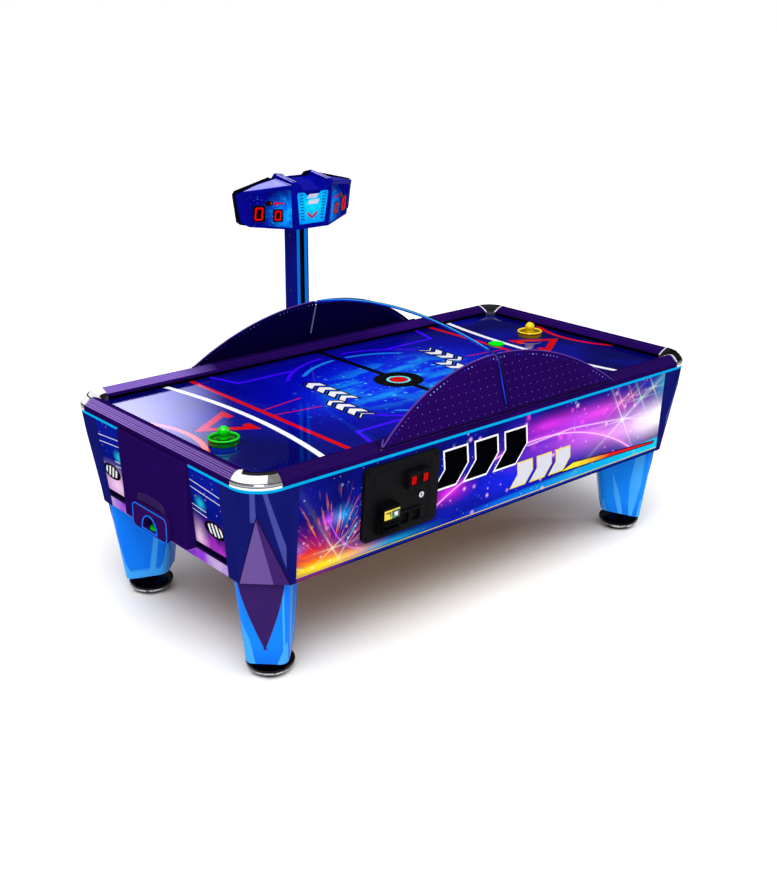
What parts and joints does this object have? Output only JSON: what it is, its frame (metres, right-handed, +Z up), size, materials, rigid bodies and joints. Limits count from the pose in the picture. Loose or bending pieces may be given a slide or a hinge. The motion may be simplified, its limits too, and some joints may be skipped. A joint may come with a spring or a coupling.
{
  "type": "air hockey table",
  "caption": "Coin-operated air hockey table on tapered legs, with arched side guards, an overhead bar and a score head on a post.",
  "frame": {"origin": "middle of the footprint, on the floor", "axes": "+X along the table's length towards the right-hand player, +Y across it towards the side with the score post, +Z up"},
  "size_m": [2.544, 1.4948, 1.688],
  "materials": {
    "rail_purple": "gloss",
    "field": "polished laminate",
    "board": "raw board",
    "cabinet_art": "printed laminate",
    "casting_navy": "gloss",
    "trim_purple": "gloss",
    "guard_purple": "gloss",
    "leg_blue": "gloss",
    "chrome": "polished",
    "cap_chrome": "chromed",
    "light_cyan": "lit strip",
    "inner_black": "matte",
    "steel": "satin",
    "wheel_plastic": "satin",
    "bar_black": "satin",
    "post_navy": "gloss",
    "head_blue": "gloss",
    "door_black": "satin",
    "acceptor_black": "matte",
    "lock_steel": "brushed",
    "button_red": "lit button",
    "green": "gloss",
    "yellow": "gloss"
  },
  "bodies": {
    "table": {"playfield": "field", "plenum_box": "board", "cabinet_front": "cabinet_art", "cabinet_back": "cabinet_art", "cabinet_left": "cabinet_art", "cabinet_right": "cabinet_art", "cabinet_floor": "board", "corner_casting_front_left": "casting_navy", "corner_casting_back_left": "casting_navy", "corner_casting_front_right": "casting_navy", "corner_casting_back_right": "casting_navy", "corner_trim_front_left": "trim_purple", "corner_trim_back_left": "trim_purple", "corner_trim_front_right": "trim_purple", "corner_trim_back_right": "trim_purple", "leg_front_left": "leg_blue", "leg_back_left": "leg_blue", "leg_front_right": "leg_blue", "leg_back_right": "leg_blue", "corner_cap_front_left": "cap_chrome", "corner_cap_back_left": "cap_chrome", "corner_cap_front_right": "cap_chrome", "corner_cap_back_right": "cap_chrome", "rail_front": "rail_purple", "rail_back": "rail_purple", "rail_left": "rail_purple", "rail_right": "rail_purple", "light_strip_front": "light_cyan", "light_strip_back": "light_cyan", "goal_cover_left": "trim_purple", "goal_cover_right": "trim_purple", "puck_return_left": "trim_purple", "puck_return_right": "trim_purple", "puck_chute_left": "inner_black", "puck_chute_right": "inner_black", "side_guard_front": "guard_purple", "side_guard_back": "guard_purple", "overhead_bar": "bar_black", "score_post": "post_navy", "score_head": "head_blue", "coin_frame": "door_black", "cash_box": "steel", "blower_housing": "steel", "control_box": "steel"},
    "foot_front_left": {"levelling_foot_front_left": "chrome"},
    "foot_back_left": {"levelling_foot_back_left": "chrome"},
    "foot_front_right": {"levelling_foot_front_right": "chrome"},
    "foot_back_right": {"levelling_foot_back_right": "chrome"},
    "coin_door": {"coin_door": "door_black", "note_acceptor": "acceptor_black"},
    "door_lock": {"door_lock": "lock_steel"},
    "reject_button_left": {"reject_button_left": "button_red"},
    "reject_button_right": {"reject_button_right": "button_red"},
    "coin_flap_left": {"coin_return_flap_left": "acceptor_black"},
    "coin_flap_right": {"coin_return_flap_right": "acceptor_black"},
    "blower_wheel": {"blower_wheel": "wheel_plastic"},
    "mallet_green": {"mallet_green": "green"},
    "mallet_yellow": {"mallet_yellow": "yellow"},
    "puck": {"puck": "green"},
    "puck_spare": {"puck_spare": "green"}
  },
  "joints": [
    {"name": "coin_door_hinge", "type": "hinge", "parent": "table", "child": "coin_door", "pos_m": [-0.711, -0.71396, 0.64951], "axis": [0, 0.085, -0.9964], "range_deg": [0, 100]},
    {"name": "door_lock_turn", "type": "hinge", "parent": "coin_door", "child": "door_lock", "pos_m": [-0.466, -0.70471, 0.62923], "axis": [0, 0.9964, 0.085], "range_deg": [0, 90]},
    {"name": "reject_button_left_press", "type": "slide", "parent": "coin_door", "child": "reject_button_left", "axis": [0, 0.9964, 0.085], "range_m": [0, 0.004], "stiffness_N_per_m": 200},
    {"name": "reject_button_right_press", "type": "slide", "parent": "coin_door", "child": "reject_button_right", "axis": [0, 0.9964, 0.085], "range_m": [0, 0.004], "stiffness_N_per_m": 200},
    {"name": "coin_flap_left_hinge", "type": "hinge", "parent": "coin_door", "child": "coin_flap_left", "pos_m": [-0.548, -0.70106, 0.57474], "axis": [1, 0, 0], "range_deg": [0, 50]},
    {"name": "coin_flap_right_hinge", "type": "hinge", "parent": "coin_door", "child": "coin_flap_right", "pos_m": [-0.49, -0.70106, 0.57474], "axis": [1, 0, 0], "range_deg": [0, 50]},
    {"name": "blower_spin", "type": "hinge", "parent": "table", "child": "blower_wheel", "pos_m": [0.3, -0.0446, 0.69], "axis": [0, 0, 1], "continuous": true},
    {"name": "foot_front_left_turn", "type": "hinge", "parent": "table", "child": "foot_front_left", "pos_m": [-1.03, -0.4886, 0.06], "axis": [0, 0, 1], "continuous": true},
    {"name": "foot_back_left_turn", "type": "hinge", "parent": "table", "child": "foot_back_left", "pos_m": [-1.03, 0.3994, 0.06], "axis": [0, 0, 1], "continuous": true},
    {"name": "foot_front_right_turn", "type": "hinge", "parent": "table", "child": "foot_front_right", "pos_m": [1.03, -0.4886, 0.06], "axis": [0, 0, 1], "continuous": true},
    {"name": "foot_back_right_turn", "type": "hinge", "parent": "table", "child": "foot_back_right", "pos_m": [1.03, 0.3994, 0.06], "axis": [0, 0, 1], "continuous": true},
    {"name": "mallet_green_slide", "type": "slide", "parent": "table", "child": "mallet_green", "axis": [0, 1, 0], "range_m": [-0.325, 0.69]},
    {"name": "mallet_yellow_slide", "type": "slide", "parent": "table", "child": "mallet_yellow", "axis": [0, 1, 0], "range_m": [-0.638, 0.38]},
    {"name": "puck_slide", "type": "slide", "parent": "table", "child": "puck", "axis": [1, 0, 0], "range_m": [-1.675, 0.095]},
    {"name": "puck_spare_slide", "type": "slide", "parent": "table", "child": "puck_spare", "axis": [-1, 0, 0], "range_m": [0, 0.09]}
  ]
}
